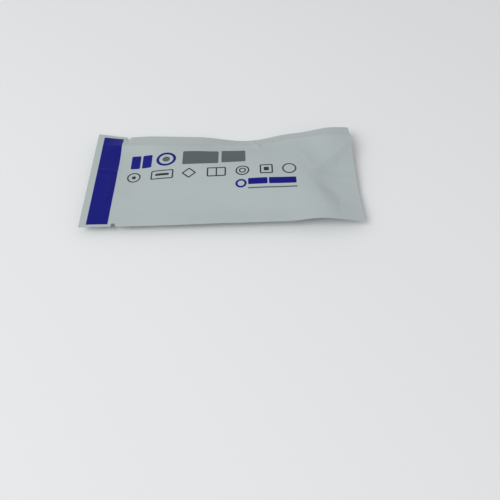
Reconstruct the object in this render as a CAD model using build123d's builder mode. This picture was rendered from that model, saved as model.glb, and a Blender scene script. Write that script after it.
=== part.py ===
from build123d import *
from math import atan2, cos, degrees, hypot, pi, sin
import os

# A sealed pouch of laminate film, face up, with a flat cassette, a dropper and a desiccant sachet
# inside. X runs along the pouch from its head, where the coloured band is printed, to its tail,
# Y runs across it from the near side to the far side, and Z is up. Sizes are in millimetres.
# In the functions, s is measured from the head edge and t from the near edge, on the flat film.

# Film, as cut and welded on four sides
pouch_length = 135.0
pouch_width = 66.0
film = 0.12
head_seal = 9.0
tail_seal = 9.0
side_seal = 9.0

# Nicks for tearing, one in each long edge
notch_width = 2.1
notch_depth = 2.0
notch_from_head = 16.1

# Room left round the contents inside the seals, and how high they push the front film
head_room = 27.0
tail_room = 20.0
near_room = 17.0
crest_from_near = 38.0
steep_side = 15.0
steep_end = 23.0
crown_low = 3.4
crown_high = 8.8
crown_run = 72.0

# Heights of the welded rim above the table, from the near side round to the far side
corner_lift = 4.8
near_sag = 0.3
near_climb = 0.9
near_hump = 1.3
near_hump_width = 28.0
hump_past_tray = 6.0
head_settle = 1.6
settle_run = 12.0
settle_end = 47.0
settle_fade = 36.0
notch_dip = 0.9
notch_dip_width = 24.0
middle_dip = 4.25
middle_dip_width = 56.0
middle_dip_share = 0.63
far_hump = 2.1
far_hump_width = 40.0
tail_arch = 1.6
arch_from_near = 47.5

# The contents draw the long edges in, most where the far side dips
far_draw = 2.8
near_draw = 0.5
draw_run = 148.0

# A hollow fans out at the tail, from the end of the tray. Its slopes lie between these angles,
# in degrees from the pouch's length.
hollow_depth = 1.9
hollow_run = 13.0
hollow_past_tray = 5.0
hollow_from_near = 31.0
hollow_far_top = 43.0
hollow_far_foot = 25.0
hollow_near_top = 72.0
hollow_near_foot = 46.0

# The back web is pressed this far against the table, over all but the rim of the filled part
bearing = 0.12
bearing_share = 1.1

# A pinch in the film where the far side dips most
pinch_depth = 0.7
pinch_length = 8.0
pinch_width = 6.0

# Pitch of the cross-sections, and of the points in each
section_pitch = 2.5
point_pitch = 2.0

# Places that follow from the sizes
weld = 2.0 * film
half_length = 0.5 * pouch_length
half_width = 0.5 * pouch_width
tail_inner = pouch_length - tail_seal
far_inner = pouch_width - side_seal
tray_from_head = head_seal + head_room
tray_end = tail_inner - tail_room
tray_length = tray_end - tray_from_head
dip_place = tray_from_head + middle_dip_share * tray_length
hump_place = tray_end + hump_past_tray
hollow_start = tray_end + hollow_past_tray


def ease(u):
    """From 0 to 1 as u does, level at both ends."""
    u = min(max(u, 0.0), 1.0)
    return u * u * (3.0 - 2.0 * u)


def taut(u):
    """From 0 to 1 as u does, like film that leaves a seam at a slant and comes over a top."""
    return sin(0.5 * pi * min(max(u, 0.0), 1.0))


def swell(distance, width):
    """A round hump as wide as width, 1 in its middle."""
    return 0.5 + 0.5 * cos(pi * min(abs(2.0 * distance / width), 1.0))


def near_rim(s):
    climb = near_climb * ease((s - tray_from_head) / tray_length)
    climb *= 1.0 - ease((s - hump_place) / (pouch_length - hump_place))
    return corner_lift - near_sag + climb + near_hump * swell(s - hump_place, near_hump_width)


def far_rim(s):
    settled = ease(s / settle_run) * (1.0 - ease((s - settle_end) / settle_fade))
    rim = corner_lift - head_settle * settled
    rim -= notch_dip * swell(s - notch_from_head, notch_dip_width)
    rim -= middle_dip * swell(s - dip_place, middle_dip_width)
    return rim + far_hump * swell(s - tail_inner, far_hump_width)


def drawn_in(s):
    """Share of the side edges' draw at one place."""
    return swell(s - dip_place, draw_run)


def near_edge(s):
    return near_draw * drawn_in(s) - half_width


def far_edge(s):
    return half_width - far_draw * drawn_in(s)


def hollow(s, t):
    """Share of the tail hollow's depth at one place."""
    run, rise = s - hollow_start, t - hollow_from_near
    angle = degrees(atan2(rise, run))
    far_slope = ease((hollow_far_top - angle) / (hollow_far_top - hollow_far_foot))
    near_slope = ease((hollow_near_top + angle) / (hollow_near_top - hollow_near_foot))
    return far_slope * near_slope * ease(hypot(run, rise) / hollow_run)


def rim_plane(s, t):
    """The welded film's height, if nothing lay inside."""
    across = t / pouch_width
    tail = ease((s - tray_end) / tail_room)
    level = near_rim(s) * (1.0 - across) + far_rim(s) * across
    return level + tail_arch * tail * swell(t - arch_from_near, pouch_width) - hollow_depth * hollow(s, t)


def pinch(s, t):
    below_seal = far_inner - t
    along = swell(below_seal - 0.5 * pinch_length, pinch_length)
    return pinch_depth * along * swell(s - dip_place - 0.5 * below_seal - pinch_width, pinch_width)


def front_height(s, t):
    """The outer face of the front web."""
    crown = crown_low + (crown_high - crown_low) * min(max((s - notch_from_head) / crown_run, 0.0), 1.0)
    lifted = max(crown - rim_plane(s, crest_from_near), 0.0) * taut((tail_inner - s) / steep_end)
    lifted *= taut((t - side_seal) / (crest_from_near - side_seal)) * taut((far_inner - t) / steep_side)
    return rim_plane(s, t) + lifted - pinch(s, t)


def back_height(s, t):
    """The outer face of the back web. Where it would go below the table, it bears on it."""
    full = taut((s - head_seal) / head_room) * taut((tail_inner - s) / tail_room)
    full *= taut((t - side_seal) / near_room) * taut((far_inner - t) / side_seal)
    web = rim_plane(s, t) - weld
    return web - (web + bearing) * min(bearing_share * full, 1.0)


section_count = round(pouch_length / section_pitch)
point_count = round((far_inner - side_seal) / point_pitch)
table_side = (Align.CENTER, Align.CENTER, Align.MAX)

with BuildPart() as sealed_pouch:
    for i in range(section_count + 1):
        s = pouch_length * i / section_count
        with BuildSketch(Plane.YZ.offset(s - half_length)):
            with BuildLine():
                shares = [j / point_count for j in range(point_count + 1)]
                scale = (far_edge(s) - near_edge(s)) / pouch_width
                places = [side_seal + (far_inner - side_seal) * share for share in shares]
                front = [(near_edge(s) + t * scale, front_height(s, t)) for t in places]
                back = [(near_edge(s) + t * scale, back_height(s, t)) for t in places]
                add(Edge.make_spline(front, parameters=shares))
                add(Edge.make_spline(back, parameters=shares))
                near_top = Vector(near_edge(s), rim_plane(s, 0.0))
                far_top = Vector(far_edge(s), rim_plane(s, pouch_width))
                down = Vector(0.0, weld)
                Polyline(front[0], near_top, near_top - down, back[0])
                Polyline(front[-1], far_top, far_top - down, back[-1])
            make_face()
    loft()
    Box(pouch_length, pouch_width, corner_lift, align=table_side, mode=Mode.SUBTRACT)
    with BuildSketch(Plane.XY):
        notch_place = notch_from_head - half_length
        with Locations((notch_place, near_edge(notch_from_head)), (notch_place, far_edge(notch_from_head))):
            SlotOverall(2.0 * notch_depth, notch_width, rotation=90.0)
    extrude(amount=corner_lift + crown_high, mode=Mode.SUBTRACT)

sealed_pouch.part.label = "sealed_pouch"
os.makedirs("parts", exist_ok=True)
export_step(sealed_pouch.part, "parts/sealed_pouch.step")
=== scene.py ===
import math

import bmesh
import bpy
import numpy as np
from mathutils import Matrix, Vector, noise
from mathutils.bvhtree import BVHTree


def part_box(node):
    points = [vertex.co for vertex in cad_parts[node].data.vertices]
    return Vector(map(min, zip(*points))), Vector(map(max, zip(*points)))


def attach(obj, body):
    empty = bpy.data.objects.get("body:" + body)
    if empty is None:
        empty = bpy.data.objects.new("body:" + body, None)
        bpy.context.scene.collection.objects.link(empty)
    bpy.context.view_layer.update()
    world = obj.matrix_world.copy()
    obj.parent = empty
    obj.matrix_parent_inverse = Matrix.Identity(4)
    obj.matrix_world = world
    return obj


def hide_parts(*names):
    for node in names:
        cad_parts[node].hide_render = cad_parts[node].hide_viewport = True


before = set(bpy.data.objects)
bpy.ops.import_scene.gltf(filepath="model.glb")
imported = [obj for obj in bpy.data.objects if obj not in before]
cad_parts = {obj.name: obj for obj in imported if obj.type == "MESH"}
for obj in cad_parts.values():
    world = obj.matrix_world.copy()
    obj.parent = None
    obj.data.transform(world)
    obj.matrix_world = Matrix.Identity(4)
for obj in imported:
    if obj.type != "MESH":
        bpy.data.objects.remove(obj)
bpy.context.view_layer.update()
mm = 0.001
pouchNode = "sealed_pouch"
lowCorner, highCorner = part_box(pouchNode)
pouchLength = (highCorner[0] - lowCorner[0]) / mm
pouchWidth = (highCorner[1] - lowCorner[1]) / mm
print("frame loaded, pouch", round(pouchLength, 1), "x", round(pouchWidth, 1), "mm")


# sRGB hex to linear RGBA
def tone(code):
    parts = [int(code[i:i + 2], 16) / 255 for i in (1, 3, 5)]
    return tuple(c / 12.92 if c <= 0.04045 else ((c + 0.055) / 1.055) ** 2.4 for c in parts) + (1.0,)


# Adds a node with its settings, and fills or links its inputs
def addNode(tree, kind, inputs=(), **settings):
    node = tree.nodes.new("ShaderNode" + kind)
    for name, value in settings.items():
        setattr(node, name, value)
    for name, value in dict(inputs).items():
        if isinstance(value, bpy.types.Node):
            value = value.outputs[0]
        if isinstance(value, bpy.types.NodeSocket):
            tree.links.new(value, node.inputs[name])
        else:
            node.inputs[name].default_value = value
    return node


# From 0 to 1, level at both ends
def ease(u):
    u = np.clip(u, 0.0, 1.0)
    return u * u * (3.0 - 2.0 * u)


# A round hump, 1 in its middle
def swell(distance, width):
    return 0.5 + 0.5 * np.cos(np.pi * np.clip(np.abs(2.0 * distance / width), 0.0, 1.0))


# The film. s runs from the head edge and t from the near edge over the flat film, in millimetres.
film = {
    "columns": 290,
    "rows": 138,
    "placesTried": 4001,     # even places that the columns are picked from
    "denserBy": 0.6,         # columns crowd at the nicks, so that their curve is clean
    "denserOver": 9.0,
    "smoothing": 60,         # passes that take the frame's facets out
    "thickness": 0.24,       # two webs, welded
    "weldWidth": 9.0,
    "weldStep": 0.06,        # the webs spring apart at the weld's inner edge
    "weldStepRun": 0.9,
    "freeFrom": 1.5,         # back film this high over the table is as uneven as the front
}
nick = {
    "fromHead": 16.1,
    "width": 2.1,
    "depth": 2.0,
    "giveWay": 7.0,          # rows this far in are pushed along
}
backSlot = 1                 # the back and the rim have the pouch's second material


def columnPlaces():
    even = np.linspace(0.0, pouchLength, film["placesTried"])
    density = 1.0 / (1.0 - film["denserBy"] * swell(even - nick["fromHead"], film["denserOver"]))
    total = np.concatenate([[0.0], np.cumsum(0.5 * (density[1:] + density[:-1]))])
    return np.interp(np.linspace(0.0, total[-1], film["columns"] + 1), total, even)


# Evens a grid of heights out, each border along its own run
def smoothHeights(z, passes):
    for _ in range(passes):
        z[1:-1] = 0.25 * (z[:-2] + z[2:]) + 0.5 * z[1:-1]
        z[:, 1:-1] = 0.25 * (z[:, :-2] + z[:, 2:]) + 0.5 * z[:, 1:-1]
    return z


# The frame's pouch is read with upright rays
reading = {
    "merge": 1e-6,           # metres
    "from": 0.1,             # metres above or below the table
    "edgeInset": 0.05,       # mm, the nearest that rays come to the two ends for the long edges
    "inset": 0.06,           # mm, and to any edge for the heights
    "surelyOn": 0.40,        # shares of the width, from its middle
    "surelyOff": 0.52,
    "halvings": 14,
    "skipAtNick": 0.8,       # widths of a nick, to each side of its middle
}


def frameTree():
    work = bmesh.new()
    work.from_mesh(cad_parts[pouchNode].data)
    bmesh.ops.remove_doubles(work, verts=work.verts, dist=reading["merge"])
    tree = BVHTree.FromBMesh(work)
    work.free()
    return tree


# y of a long edge at each column, found between two rays that hit and miss
def readEdge(tree, places, side):
    ends = []
    inset = reading["edgeInset"]
    for s in places:
        x = (min(max(s, inset), pouchLength - inset) - 0.5 * pouchLength) * mm
        inside, outside = reading["surelyOn"] * pouchWidth * mm, reading["surelyOff"] * pouchWidth * mm
        for _ in range(reading["halvings"]):
            middle = 0.5 * (inside + outside)
            hit = tree.ray_cast(Vector((x, side * middle, reading["from"])), Vector((0, 0, -1)))[0]
            inside, outside = (middle, outside) if hit else (inside, middle)
        ends.append(side * inside / mm)
    clear = np.abs(places - nick["fromHead"]) > reading["skipAtNick"] * nick["width"]
    return np.interp(places, places[clear], np.array(ends)[clear])


# Heights of the frame's front or back face over the grid. Rays go down to the front, way -1, or
# up to the back, way 1, and the heights at the nicks come from those beside them.
def readHeights(tree, places, shares, nearEdge, farEdge, way):
    z = np.full((len(places), len(shares)), np.nan)
    inset = reading["inset"]
    for i, s in enumerate(places):
        if abs(s - nick["fromHead"]) < reading["skipAtNick"] * nick["width"]:
            continue
        x = (min(max(s, inset), pouchLength - inset) - 0.5 * pouchLength) * mm
        for j, share in enumerate(shares):
            y = nearEdge[i] + (farEdge[i] - nearEdge[i]) * share
            y = min(max(y, nearEdge[i] + inset), farEdge[i] - inset) * mm
            hit = tree.ray_cast(Vector((x, y, -reading["from"] * way)), Vector((0, 0, way)))[0]
            if hit:
                z[i, j] = hit.z / mm
    for j in range(len(shares)):
        known = ~np.isnan(z[:, j])
        z[:, j] = np.interp(places, places[known], z[known, j])
    return smoothHeights(z, film["smoothing"])


# Creases of the front film, through points (s, t): ridges, and valleys where the rise is negative.
# A crease is sharp on its line. Its slopes reach as far as side says, to the left and to the right
# of the way it runs.
creases = [
    {"through": [(111.5, 32), (120.5, 39), (127, 45.5), (133.5, 53)], "side": (5.0, 3.6), "rise": 0.50},
    {"through": [(113, 31), (123, 35.8), (136, 42.5)], "side": (2.5, 6.0), "rise": -0.20},
    {"through": [(104, 33.5), (110, 28.5), (115.5, 20), (117, 11), (117.5, 2)],
     "side": (7.0, 3.0), "rise": 0.11},
    {"through": [(112, 28), (118.5, 23.2), (125.5, 18.5), (124.8, 11), (123.5, 3)],
     "side": (1.3, 5.0), "rise": -0.17},
    {"through": [(111.5, 31.5), (121, 30.0), (136, 28.6)], "side": (3.0, 3.0), "rise": 0.24},
    {"through": [(104, 48), (109.5, 43.5), (112.5, 35)], "side": (3.2, 1.6), "rise": 0.16},
    {"through": [(82.3, 65.8), (84.5, 59), (87.4, 53)], "side": (1.3, 3.4), "rise": 0.55},
    {"through": [(2, 38.0), (8, 38.6), (15, 38.0)], "side": (1.3, 2.6), "rise": 0.28},
    {"through": [(7.6, 58), (7.6, 47), (9.5, 38.6)], "side": (1.5, 3.0), "rise": 0.22},
    {"through": [(9, 36), (12, 27), (11, 18)], "side": (1.2, 2.4), "rise": 0.20},
    {"through": [(15, 15.7), (24, 24), (32, 32.3)], "side": (7.0, 9.0), "rise": 0.22},
]
creaseShape = {
    "comesUpOver": 0.25,     # shares of the crease's length
    "diesAwayOver": 0.15,
    "leftAtEnd": 0.3,
    "straight": 0.65,        # how straight its slopes are, from 0, curved, to 1
}


def creaseHeight(s, t, crease):
    points = np.array(crease["through"], float)
    lengths = np.hypot(*np.diff(points, axis=0).T)
    total = lengths.sum()
    nearest = np.full(s.shape, np.inf)
    offset, along = np.zeros(s.shape), np.zeros(s.shape)
    run = 0.0
    for (s0, t0), (s1, t1), length in zip(points[:-1], points[1:], lengths):
        ds, dt = (s1 - s0) / length, (t1 - t0) / length
        onLine = np.clip((s - s0) * ds + (t - t0) * dt, 0.0, length)
        gapS, gapT = s - s0 - onLine * ds, t - t0 - onLine * dt
        away = np.hypot(gapS, gapT)
        closer = away < nearest
        nearest = np.where(closer, away, nearest)
        offset = np.where(closer, np.sign(ds * gapT - dt * gapS) * away, offset)
        along = np.where(closer, run + onLine, along)
        run += length
    reach = np.where(offset > 0.0, crease["side"][0], crease["side"][1])
    slope = np.clip(1.0 - np.abs(offset) / reach, 0.0, 1.0)
    comesUp = ease(along / (creaseShape["comesUpOver"] * total))
    diesAway = ease((total - along) / (creaseShape["diesAwayOver"] * total) + creaseShape["leftAtEnd"])
    straight = creaseShape["straight"]
    return crease["rise"] * slope * (straight + (1.0 - straight) * slope) * comesUp * diesAway


# Slow unevenness that film keeps from handling: size across and height
ripples = [
    {"size": 17.0, "rise": 0.16, "seed": 3.1},
    {"size": 7.0, "rise": 0.045, "seed": 11.7},
]


def rippleHeight(s, t):
    z = np.zeros(s.shape)
    for ripple in ripples:
        size, seed = ripple["size"], ripple["seed"]
        flat = [noise.noise(Vector((a / size, b / size, seed))) for a, b in zip(s.ravel(), t.ravel())]
        z += ripple["rise"] * np.array(flat).reshape(s.shape)
    return z


# The far weld bends down from its inner line to the edge, most past the dip in the edge
farWeld = {
    "rise": 1.35,            # of the inner line, all along
    "atNick": 0.5,           # and how much more at three places
    "atNickOver": 24.0,
    "atDip": 1.7,
    "dip": 79.0,
    "atDipOver": 44.0,
    "atTail": 2.1,
    "tail": 108.0,
    "atTailOver": 60.0,
    "fadeHead": 12.0,
    "run": 15.0,             # how far behind the weld the film is level again
}


def farWeldHeight(s, t):
    fromEdge = pouchWidth - t
    rise = farWeld["rise"] + farWeld["atNick"] * swell(s - nick["fromHead"], farWeld["atNickOver"])
    rise += farWeld["atDip"] * swell(s - farWeld["dip"], farWeld["atDipOver"])
    rise += farWeld["atTail"] * swell(s - farWeld["tail"], farWeld["atTailOver"])
    rise *= ease(s / farWeld["fadeHead"])
    outside = np.clip(fromEdge / film["weldWidth"], 0.0, 1.0)
    behind = np.clip((fromEdge - film["weldWidth"]) / farWeld["run"], 0.0, 1.0)
    return rise * outside * (1.0 - np.sin(0.5 * np.pi * behind))


# The near corner of the tail stands up again, past the hollow
tailCorner = {
    "rise": 1.7,
    "from": 98.0,            # from the head
    "run": 30.0,
    "across": 28.0,          # from the near edge
}


def tailCornerHeight(s, t):
    along = ease((s - tailCorner["from"]) / tailCorner["run"])
    return tailCorner["rise"] * along * (1.0 - ease(t / tailCorner["across"]))


# Towards the head the film sags behind the weld, then comes up over the dropper and the tray
headFilm = {
    "sag": 0.8,
    "sagAt": 23.0,
    "sagOver": 28.0,
    "fill": 0.7,
    "fillFrom": 18.0,
    "fillTo": 75.0,
    "fillFade": 26.0,
    "farFlank": 5.0,         # how far from each weld it is in full
    "farFlankBow": 0.7,      # under 1, it comes up steeply from the far weld
    "nearFlank": 20.0,
}


def headFilmHeight(s, t):
    fromNear, fromFar = t - film["weldWidth"], pouchWidth - film["weldWidth"] - t
    across = np.clip(fromFar / headFilm["farFlank"], 0.0, 1.0) ** headFilm["farFlankBow"]
    across *= ease(fromNear / headFilm["nearFlank"])
    sag = headFilm["sag"] * swell(s - headFilm["sagAt"], headFilm["sagOver"])
    fill = ease((s - headFilm["fillFrom"]) / headFilm["fillFade"])
    fill *= headFilm["fill"] * ease((headFilm["fillTo"] - s) / headFilm["fillFade"])
    return (fill - sag) * across


# How far the nicks push a row along, nearly round at their ends
def nickShift(s, t):
    endRadius = 0.5 * nick["width"]
    across = np.clip(np.abs(s - nick["fromHead"]) / endRadius, 0.0, 1.0)
    curve = endRadius * np.sqrt(1.0 - across ** 2)
    cut = np.where(across < 1.0, nick["depth"] - endRadius + curve, 0.0)
    fromNear = np.clip(1.0 - t / nick["giveWay"], 0.0, 1.0)
    fromFar = np.clip(1.0 - (pouchWidth - t) / nick["giveWay"], 0.0, 1.0)
    return cut * (fromNear - fromFar)


# The film over its grid of columns and rows: places on the flat film, x, y and the two heights
def shapeFilm():
    places = columnPlaces()
    shares = np.linspace(0.0, 1.0, film["rows"] + 1)
    tree = frameTree()
    nearEdge = readEdge(tree, places, -1.0)
    farEdge = readEdge(tree, places, 1.0)
    front = readHeights(tree, places, shares, nearEdge, farEdge, -1.0)
    back = readHeights(tree, places, shares, nearEdge, farEdge, 1.0)
    s, t = np.meshgrid(places, shares * pouchWidth, indexing="ij")

    # Where welded, both webs move as one, and the back stays on the table where it lies on it
    fromEdge = np.minimum(np.minimum(s, pouchLength - s), np.minimum(t, pouchWidth - t))
    inside = ease((fromEdge - film["weldWidth"]) / film["weldStepRun"] + 0.5)
    lifted = ease(back / film["freeFrom"])
    handled = rippleHeight(s, t)
    creased = sum(creaseHeight(s, t, crease) for crease in creases)
    bent = farWeldHeight(s, t) + tailCornerHeight(s, t)
    front += bent + handled * (inside + (1.0 - inside) * lifted) + creased + film["weldStep"] * inside
    front += headFilmHeight(s, t)
    back += bent + handled * lifted + creased * (1.0 - inside)
    back = np.maximum(back, 0.0)
    front = np.maximum(front, back + film["thickness"])

    t = t + nickShift(s, t)
    x = s - 0.5 * pouchLength
    y = nearEdge[:, None] + (farEdge - nearEdge)[:, None] * t / pouchWidth
    return s, t, x, y, front, back


# Two grids, front and back, joined round the rim
def makePouch():
    s, t, x, y, front, back = shapeFilm()
    work = bmesh.new()
    bmesh.ops.create_grid(work, x_segments=film["columns"], y_segments=film["rows"], size=0.5)
    filmMap = work.loops.layers.uv.new("filmMap")
    frontVerts = sorted(work.verts, key=lambda v: (round(v.co.x * film["columns"]), v.co.y))
    copied = bmesh.ops.duplicate(work, geom=work.verts[:] + work.edges[:] + work.faces[:])
    backVerts = [copied["vert_map"][v] for v in frontVerts]
    backFaces = [f for f in copied["geom"] if isinstance(f, bmesh.types.BMFace)]
    bmesh.ops.reverse_faces(work, faces=backFaces)
    onFilm = {}
    for verts, z in ((frontVerts, front), (backVerts, back)):
        for v, vx, vy, vz, vs, vt in zip(verts, x.ravel(), y.ravel(), z.ravel(), s.ravel(), t.ravel()):
            v.co = (vx * mm, vy * mm, vz * mm)
            onFilm[v] = (vs / pouchLength, vt / pouchWidth)
    for f in backFaces:
        f.material_index = backSlot
    rim = [e for e in work.edges if e.is_boundary]
    cut = bmesh.ops.bridge_loops(work, edges=rim)
    for f in work.faces:
        f.smooth = True
        for loop in f.loops:
            loop[filmMap].uv = onFilm[loop.vert]
    for f in cut["faces"]:
        f.material_index = backSlot
    for e in rim:
        e.smooth = False
    bmesh.ops.recalc_face_normals(work, faces=work.faces)
    mesh = bpy.data.meshes.new("sealedPouch")
    work.to_mesh(mesh)
    work.free()
    piece = bpy.data.objects.new("sealedPouch", mesh)
    bpy.context.scene.collection.objects.link(piece)
    return piece


pouch = makePouch()
print("pouch film shaped,", len(pouch.data.polygons), "faces")


# Print on the film. Places and sizes are in millimetres on the flat film, along it, then across.
whole = 60.0                # a line this broad fills its shape
inkSpread = 0.06            # mm, either way from the shape's edge
colourA, colourB, colourOut = 6, 7, 2       # the Mix node's sockets for colours
inkTones = {"blue": "#050C77", "grey": "#575F62", "dark": "#2E3336"}
frontPrint = [
    {"ink": "blue", "at": (8.4, 32.6), "size": (10.2, 62.4), "corner": 0.2},
    {"ink": "blue", "at": (22.15, 44.75), "size": (4.9, 9.5), "corner": 0.8},
    {"ink": "blue", "at": (28.1, 44.75), "size": (5.0, 9.5), "corner": 0.8},
    {"ink": "blue", "at": (38.1, 45.2), "size": (10.4, 10.4), "corner": 5.2, "line": 1.5},
    {"ink": "grey", "at": (38.1, 45.2), "size": (4.0, 4.0), "corner": 2.0},
    {"ink": "grey", "at": (56.0, 45.6), "size": (18.6, 10.8), "corner": 0.8},
    {"ink": "grey", "at": (73.0, 46.1), "size": (12.4, 10.8), "corner": 0.8},
    {"ink": "dark", "at": (22.2, 33.6), "size": (7.0, 7.0), "corner": 3.5, "line": 0.75},
    {"ink": "dark", "at": (22.2, 33.6), "size": (2.2, 2.2), "corner": 1.1},
    {"ink": "dark", "at": (36.8, 33.6), "size": (11.6, 6.6), "corner": 0.8, "line": 0.75},
    {"ink": "dark", "at": (36.8, 33.6), "size": (7.2, 1.7), "corner": 0.8},
    {"ink": "dark", "at": (50.5, 33.6), "size": (5.4, 5.4), "corner": 0.6, "line": 0.75, "turn": 45.0},
    {"ink": "dark", "at": (64.4, 33.6), "size": (9.7, 6.6), "corner": 0.8, "line": 0.75},
    {"ink": "dark", "at": (64.4, 33.6), "size": (0.7, 6.0), "corner": 0.1},
    {"ink": "dark", "at": (77.5, 33.6), "size": (7.0, 7.0), "corner": 3.5, "line": 0.75},
    {"ink": "dark", "at": (77.5, 33.6), "size": (3.6, 3.6), "corner": 1.8, "line": 0.7},
    {"ink": "dark", "at": (89.5, 33.6), "size": (6.6, 6.6), "corner": 0.8, "line": 0.75},
    {"ink": "dark", "at": (89.5, 33.6), "size": (2.6, 2.6), "corner": 0.4},
    {"ink": "dark", "at": (101.0, 33.6), "size": (7.2, 7.2), "corner": 3.6, "line": 0.75},
    {"ink": "blue", "at": (76.7, 24.6), "size": (5.6, 5.6), "corner": 2.8, "line": 1.1},
    {"ink": "blue", "at": (85.0, 25.6), "size": (9.6, 4.0), "corner": 0.6},
    {"ink": "blue", "at": (97.3, 25.6), "size": (13.6, 4.0), "corner": 0.6},
    {"ink": "grey", "at": (92.2, 21.4), "size": (24.4, 0.8), "corner": 0.4},
]
backPrint = [
    {"ink": "grey", "at": (67.5, 44.0), "size": (58.0, 1.6), "corner": 0.8},
    {"ink": "grey", "at": (67.5, 39.5), "size": (50.0, 1.6), "corner": 0.8},
    {"ink": "grey", "at": (67.5, 35.0), "size": (54.0, 1.6), "corner": 0.8},
]


# Coverage of one printed shape: a box with round corners, filled or as an outline
def makePrintShape():
    tree = bpy.data.node_groups.new("printShape", "ShaderNodeTree")
    for name, kind in (("Place", "Vector"), ("Centre", "Vector"), ("Half size", "Vector"),
                       ("Corner", "Float"), ("Line", "Float"), ("Turn", "Float")):
        tree.interface.new_socket(name, in_out="INPUT", socket_type="NodeSocket" + kind)
    tree.interface.new_socket("Coverage", in_out="OUTPUT", socket_type="NodeSocketFloat")
    given = tree.nodes.new("NodeGroupInput").outputs
    away = addNode(tree, "VectorMath", {0: given["Place"], 1: given["Centre"]}, operation="SUBTRACT")
    turned = addNode(tree, "VectorRotate", {"Vector": away, "Angle": given["Turn"]}, rotation_type="Z_AXIS")
    folded = addNode(tree, "VectorMath", {0: turned}, operation="ABSOLUTE")
    past = addNode(tree, "VectorMath", {0: folded, 1: given["Half size"]}, operation="SUBTRACT")
    cornerBoth = addNode(tree, "CombineXYZ", {"X": given["Corner"], "Y": given["Corner"]})
    past = addNode(tree, "VectorMath", {0: past, 1: cornerBoth}, operation="ADD")
    beyond = addNode(tree, "VectorMath", {0: past, 1: (0, 0, 0)}, operation="MAXIMUM")
    outer = addNode(tree, "VectorMath", {0: beyond}, operation="LENGTH").outputs["Value"]
    sides = addNode(tree, "SeparateXYZ", {0: past}).outputs
    inner = addNode(tree, "Math", {0: sides["X"], 1: sides["Y"]}, operation="MAXIMUM")
    inner = addNode(tree, "Math", {0: inner, 1: 0.0}, operation="MINIMUM")
    edge = addNode(tree, "Math", {0: outer, 1: inner}, operation="ADD")
    edge = addNode(tree, "Math", {0: edge, 1: given["Corner"]}, operation="SUBTRACT")
    halfLine = addNode(tree, "Math", {0: given["Line"], 1: 0.5}, operation="MULTIPLY")
    edge = addNode(tree, "Math", {0: edge, 1: halfLine}, operation="ADD")
    edge = addNode(tree, "Math", {0: edge}, operation="ABSOLUTE")
    edge = addNode(tree, "Math", {0: edge, 1: halfLine}, operation="SUBTRACT")
    coverage = addNode(tree, "MapRange", {"Value": edge, "From Min": inkSpread, "From Max": -inkSpread})
    tree.links.new(coverage.outputs[0], tree.nodes.new("NodeGroupOutput").inputs[0])
    return tree


# Lays each ink of a print over the film's own colour. Also gives where there is ink at all.
def addPrint(tree, place, shapes, colour):
    covered = None
    for ink, code in inkTones.items():
        layer = None
        for shape in [one for one in shapes if one["ink"] == ink]:
            along, across = shape["size"]
            printed = addNode(tree, "Group", {
                "Place": place,
                "Centre": (*shape["at"], 0.0),
                "Half size": (0.5 * along, 0.5 * across, 0.0),
                "Corner": shape["corner"],
                "Line": shape.get("line", whole),
                "Turn": math.radians(shape.get("turn", 0.0)),
            }, node_tree=printShape)
            layer = addNode(tree, "Math", {0: layer, 1: printed}, operation="MAXIMUM") if layer else printed
        if layer:
            inked = addNode(tree, "Mix", {"Factor": layer, colourA: colour, colourB: tone(code)},
                            data_type="RGBA")
            colour = inked.outputs[colourOut]
            covered = addNode(tree, "Math", {0: covered, 1: layer}, operation="MAXIMUM") if covered else layer
    return colour, covered


# Printed polyester laminate, white ink under a matt varnish: pale cool grey, a broad soft gloss,
# a skin as fine as drawn film and crimped ribs on the tail weld
filmFinish = {
    "colour": "#B2BBBC",
    "darker": "#AAB3B4",
    "patchSize": 24.0,       # mm
    "patchDetail": 3.0,
    "grainSize": 0.35,       # mm, drawn coarser than it is so that it shows
    "grainDetail": 2.0,
    "grainRise": 0.004,      # mm
    "roughness": 0.46,
    "inkRoughness": 0.38,
    "ior": 1.5,
    "specular": 0.18,        # the varnish is matt
    "ribPitch": 1.0,         # mm
    "ribRise": 0.006,        # mm
    "ribFade": 0.4,          # mm, from the weld's inner line
}


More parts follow.
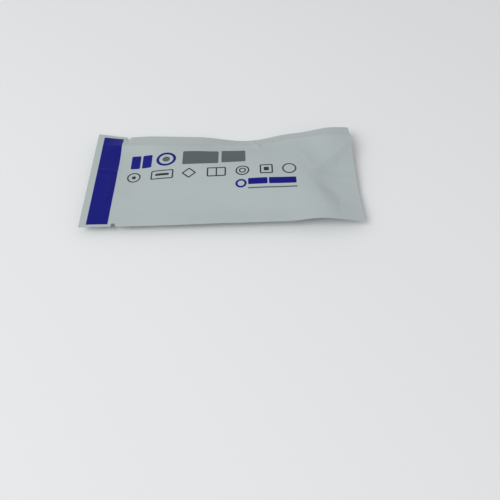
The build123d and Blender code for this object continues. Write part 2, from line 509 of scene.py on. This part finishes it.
def makeFilmMaterial(name, shapes):
    material = bpy.data.materials.new(name)
    material.use_nodes = True
    tree = material.node_tree
    tree.nodes.clear()
    flat = addNode(tree, "UVMap", uv_map="filmMap")
    place = addNode(tree, "Mapping", {"Vector": flat, "Scale": (pouchLength, pouchWidth, 1.0)})
    patches = addNode(tree, "TexNoise", {
        "Vector": place,
        "Scale": 1 / filmFinish["patchSize"],
        "Detail": filmFinish["patchDetail"],
    })
    white = addNode(tree, "Mix", {
        "Factor": patches.outputs["Fac"],
        colourA: tone(filmFinish["darker"]),
        colourB: tone(filmFinish["colour"]),
    }, data_type="RGBA").outputs[colourOut]
    colour, covered = addPrint(tree, place, shapes, white)
    grain = addNode(tree, "TexNoise", {
        "Vector": place,
        "Scale": 1 / filmFinish["grainSize"],
        "Detail": filmFinish["grainDetail"],
    })
    grainRise = addNode(tree, "Math", {0: grain, 1: filmFinish["grainRise"]}, operation="MULTIPLY")
    along = addNode(tree, "SeparateXYZ", {0: place}).outputs["X"]
    wave = addNode(tree, "Math", {0: along, 1: 2 * math.pi / filmFinish["ribPitch"]}, operation="MULTIPLY")
    wave = addNode(tree, "Math", {0: wave}, operation="SINE")
    tailLine = pouchLength - film["weldWidth"]
    onTail = addNode(tree, "MapRange", {
        "Value": along,
        "From Min": tailLine,
        "From Max": tailLine + filmFinish["ribFade"],
    })
    ribs = addNode(tree, "Math", {0: wave, 1: onTail}, operation="MULTIPLY")
    rise = addNode(tree, "Math", {0: ribs, 1: filmFinish["ribRise"], 2: grainRise}, operation="MULTIPLY_ADD")
    bump = addNode(tree, "Bump", {"Height": rise, "Distance": mm, "Strength": 1.0})
    gloss = addNode(tree, "MapRange", {
        "Value": covered,
        "To Min": filmFinish["roughness"],
        "To Max": filmFinish["inkRoughness"],
    })
    shader = addNode(tree, "BsdfPrincipled", {
        "Base Color": colour,
        "Roughness": gloss,
        "Normal": bump,
        "IOR": filmFinish["ior"],
        "Specular IOR Level": filmFinish["specular"],
    })
    addNode(tree, "OutputMaterial", {"Surface": shader})
    return material


printShape = makePrintShape()
pouch.data.materials.append(makeFilmMaterial("matteLaminateFront", frontPrint))
pouch.data.materials.append(makeFilmMaterial("matteLaminateBack", backPrint))
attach(pouch, "root")
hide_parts(pouchNode)
print("film printed and finished")


# Studio: a pale floor, a plain sky and one soft lamp from the left
studio = {
    "floorSize": 3.0,        # metres
    "floorSquares": 8,
    "floor": "#E4E6E7",
    "floorRoughness": 0.8,
    "sky": 0.60,
    "backdrop": 0.9,         # the sky as the camera sees it
    "lampAt": (-0.80, -0.60, 1.05),
    "lampSize": 1.0,
    "lampWatts": 11.4,
}


def makeStudio():
    work = bmesh.new()
    squares = studio["floorSquares"]
    bmesh.ops.create_grid(work, x_segments=squares, y_segments=squares, size=0.5 * studio["floorSize"])
    mesh = bpy.data.meshes.new("floor")
    work.to_mesh(mesh)
    work.free()
    floor = bpy.data.objects.new("floor", mesh)
    bpy.context.scene.collection.objects.link(floor)
    material = bpy.data.materials.new("paintedBoard")
    material.use_nodes = True
    tree = material.node_tree
    tree.nodes.clear()
    shader = addNode(tree, "BsdfPrincipled", {
        "Base Color": tone(studio["floor"]),
        "Roughness": studio["floorRoughness"],
    })
    addNode(tree, "OutputMaterial", {"Surface": shader})
    mesh.materials.append(material)

    world = bpy.data.worlds.new("plainSky")
    world.use_nodes = True
    tree = world.node_tree
    tree.nodes.clear()
    light = addNode(tree, "Background", {"Color": (1, 1, 1, 1), "Strength": studio["sky"]})
    backdrop = addNode(tree, "Background", {"Color": (1, 1, 1, 1), "Strength": studio["backdrop"]})
    toCamera = addNode(tree, "LightPath").outputs["Is Camera Ray"]
    shown = addNode(tree, "MixShader", {0: toCamera, 1: light, 2: backdrop})
    addNode(tree, "OutputWorld", {"Surface": shown})
    bpy.context.scene.world = world

    lamp = bpy.data.lights.new("softLamp", "AREA")
    lamp.shape = "DISK"
    lamp.size = studio["lampSize"]
    lamp.energy = studio["lampWatts"]
    holder = bpy.data.objects.new("softLamp", lamp)
    holder.location = studio["lampAt"]
    holder.rotation_euler = (-Vector(studio["lampAt"])).to_track_quat("-Z", "Y").to_euler()
    bpy.context.scene.collection.objects.link(holder)


# The camera stands as the photograph's did, found from the pouch's four corners
camera = {
    "at": (0.01083, -0.19929, 0.19720),
    "down": 51.99,           # degrees under the horizon
    "heading": 0.739,        # degrees from +Y towards +X
    "roll": -0.604,          # degrees
    "lens": 38.95,           # mm, on a sensor as wide as this
    "sensor": 36.0,
    "clipStart": 0.01,
}


def makeCamera():
    data = bpy.data.cameras.new("camera")
    data.lens = camera["lens"]
    data.sensor_width = camera["sensor"]
    data.clip_start = camera["clipStart"]
    holder = bpy.data.objects.new("camera", data)
    turn = Matrix.Rotation(math.radians(-camera["heading"]), 4, "Z")
    turn @= Matrix.Rotation(math.radians(90.0 - camera["down"]), 4, "X")
    turn @= Matrix.Rotation(math.radians(camera["roll"]), 4, "Z")
    holder.matrix_world = Matrix.Translation(Vector(camera["at"])) @ turn
    bpy.context.scene.collection.objects.link(holder)
    bpy.context.scene.camera = holder


makeStudio()
makeCamera()
bpy.context.scene.view_settings.view_transform = "Standard"
print("studio and camera set")
